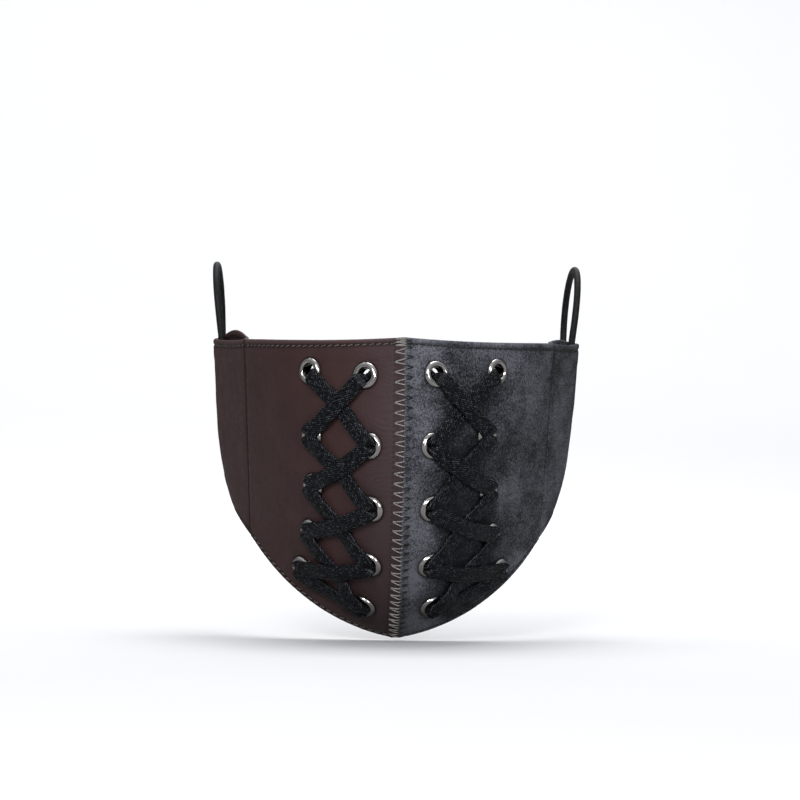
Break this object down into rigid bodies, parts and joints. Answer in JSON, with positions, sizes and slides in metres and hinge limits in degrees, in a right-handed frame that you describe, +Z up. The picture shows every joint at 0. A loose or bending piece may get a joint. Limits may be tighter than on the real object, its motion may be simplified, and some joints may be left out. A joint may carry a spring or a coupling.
{
  "type": "laced half-face mask",
  "caption": "Two-tone leather half-face mask with a zigzag centre seam, eyelets with criss-cross laces on both cheeks, and side casings that carry elastic ear loops.",
  "frame": {"origin": "on the mid-plane x = 0, centred front to back between the nose seam and the rear of the ear loops, at the height of the chin tip", "axes": "+Z up towards the eyes, -Y out of the front of the mask, so +Y towards the wearer's ears; the brown half is on -X and the grey half on +X"},
  "size_m": [0.1426, 0.1252, 0.1429],
  "materials": {
    "brown_leather": "smooth dark brown imitation leather, soft sheen",
    "grey_leather": "mottled charcoal and blue-grey suede-look leather, matt",
    "lining_cotton": "black woven cotton",
    "eyelet_metal": "polished black nickel",
    "lace_cotton": "black flat braid, lightly waxed",
    "elastic_cord": "black braided round elastic",
    "thread": "twisted polyester sewing thread"
  },
  "bodies": {
    "mask_body": {"brown_bottom_hem_stitch": "thread", "brown_casing_seam_stitch": "thread", "brown_front_panel": "brown_leather", "brown_inner_eyelet_1": "eyelet_metal", "brown_inner_eyelet_2": "eyelet_metal", "brown_inner_eyelet_3": "eyelet_metal", "brown_inner_eyelet_4": "eyelet_metal", "brown_inner_eyelet_5": "eyelet_metal", "brown_inner_washer_1": "eyelet_metal", "brown_inner_washer_2": "eyelet_metal", "brown_inner_washer_3": "eyelet_metal", "brown_inner_washer_4": "eyelet_metal", "brown_inner_washer_5": "eyelet_metal", "brown_lace": "lace_cotton", "brown_lining": "lining_cotton", "brown_outer_eyelet_1": "eyelet_metal", "brown_outer_eyelet_2": "eyelet_metal", "brown_outer_eyelet_3": "eyelet_metal", "brown_outer_eyelet_4": "eyelet_metal", "brown_outer_eyelet_5": "eyelet_metal", "brown_outer_washer_1": "eyelet_metal", "brown_outer_washer_2": "eyelet_metal", "brown_outer_washer_3": "eyelet_metal", "brown_outer_washer_4": "eyelet_metal", "brown_outer_washer_5": "eyelet_metal", "brown_top_hem_stitch": "thread", "centre_zigzag_stitch": "thread", "grey_bottom_hem_stitch": "thread", "grey_casing_seam_stitch": "thread", "grey_front_panel": "grey_leather", "grey_inner_eyelet_1": "eyelet_metal", "grey_inner_eyelet_2": "eyelet_metal", "grey_inner_eyelet_3": "eyelet_metal", "grey_inner_eyelet_4": "eyelet_metal", "grey_inner_eyelet_5": "eyelet_metal", "grey_inner_washer_1": "eyelet_metal", "grey_inner_washer_2": "eyelet_metal", "grey_inner_washer_3": "eyelet_metal", "grey_inner_washer_4": "eyelet_metal", "grey_inner_washer_5": "eyelet_metal", "grey_lace": "lace_cotton", "grey_lining": "lining_cotton", "grey_outer_eyelet_1": "eyelet_metal", "grey_outer_eyelet_2": "eyelet_metal", "grey_outer_eyelet_3": "eyelet_metal", "grey_outer_eyelet_4": "eyelet_metal", "grey_outer_eyelet_5": "eyelet_metal", "grey_outer_washer_1": "eyelet_metal", "grey_outer_washer_2": "eyelet_metal", "grey_outer_washer_3": "eyelet_metal", "grey_outer_washer_4": "eyelet_metal", "grey_outer_washer_5": "eyelet_metal", "grey_top_hem_stitch": "thread"},
    "brown_casing": {"brown_side_casing": "brown_leather"},
    "brown_loop": {"brown_ear_loop": "elastic_cord"},
    "grey_casing": {"grey_side_casing": "grey_leather"},
    "grey_loop": {"grey_ear_loop": "elastic_cord"}
  },
  "joints": [
    {"name": "brown_casing_fold", "type": "hinge", "parent": "mask_body", "child": "brown_casing", "pos_m": [-0.05845, -0.00777, 0.11292], "axis": [0.0438, 0.245, -0.9685], "range_deg": [-15, 35]},
    {"name": "brown_loop_swing", "type": "hinge", "parent": "brown_casing", "child": "brown_loop", "pos_m": [-0.06766, 0.02013, 0.11322], "axis": [0.1168, 0.0768, -0.9902], "range_deg": [-15, 110]},
    {"name": "grey_casing_fold", "type": "hinge", "parent": "mask_body", "child": "grey_casing", "pos_m": [0.05845, -0.00777, 0.11292], "axis": [0.0438, -0.245, 0.9685], "range_deg": [-15, 35]},
    {"name": "grey_loop_swing", "type": "hinge", "parent": "grey_casing", "child": "grey_loop", "pos_m": [0.06766, 0.02013, 0.11322], "axis": [0.1168, -0.0768, 0.9902], "range_deg": [-15, 110]}
  ]
}
